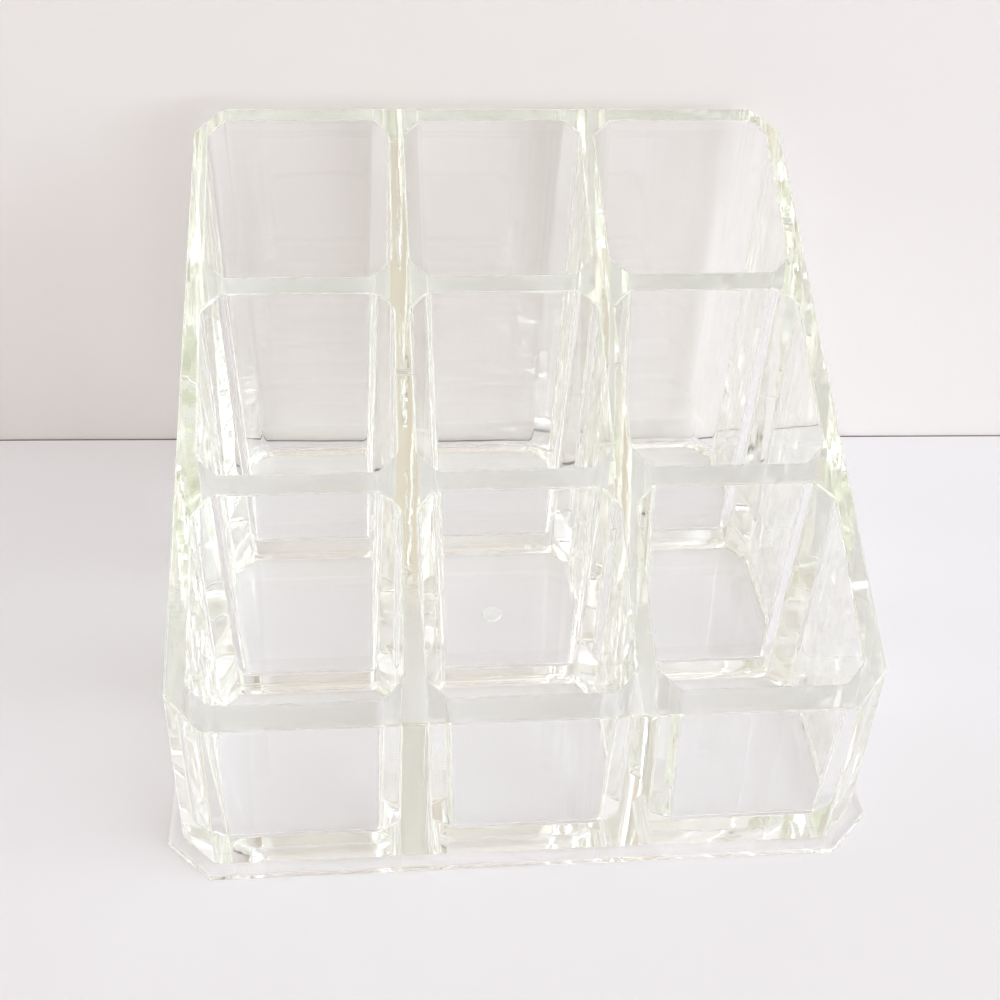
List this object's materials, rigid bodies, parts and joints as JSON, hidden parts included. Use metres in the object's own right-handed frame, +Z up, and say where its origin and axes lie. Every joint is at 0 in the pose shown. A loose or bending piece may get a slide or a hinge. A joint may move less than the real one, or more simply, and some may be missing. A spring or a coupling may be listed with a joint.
{
  "type": "vanity organizer",
  "caption": "Clear moulded plastic organizer with a grid of open cells for lipsticks under a rim that slopes down from back to front, on a base with a projecting foot.",
  "frame": {"origin": "centre of the underside of the base, on the surface that the organizer stands on", "axes": "+X to the right as seen from the low front, +Y towards the high back wall, +Z up; the object is mirror-symmetric about X = 0"},
  "size_m": [0.095, 0.0948, 0.0658],
  "materials": {
    "clear_plastic": "clear, glossy, injection-moulded polystyrene with a faint yellow-green tint in its edges"
  },
  "bodies": {
    "root": {"base": "clear_plastic", "left_wall": "clear_plastic", "right_wall": "clear_plastic", "front_wall": "clear_plastic", "back_wall": "clear_plastic", "left_divider": "clear_plastic", "right_divider": "clear_plastic", "front_left_partition": "clear_plastic", "front_middle_partition": "clear_plastic", "front_right_partition": "clear_plastic", "back_left_partition": "clear_plastic", "back_middle_partition": "clear_plastic", "back_right_partition": "clear_plastic"}
  },
  "joints": []
}
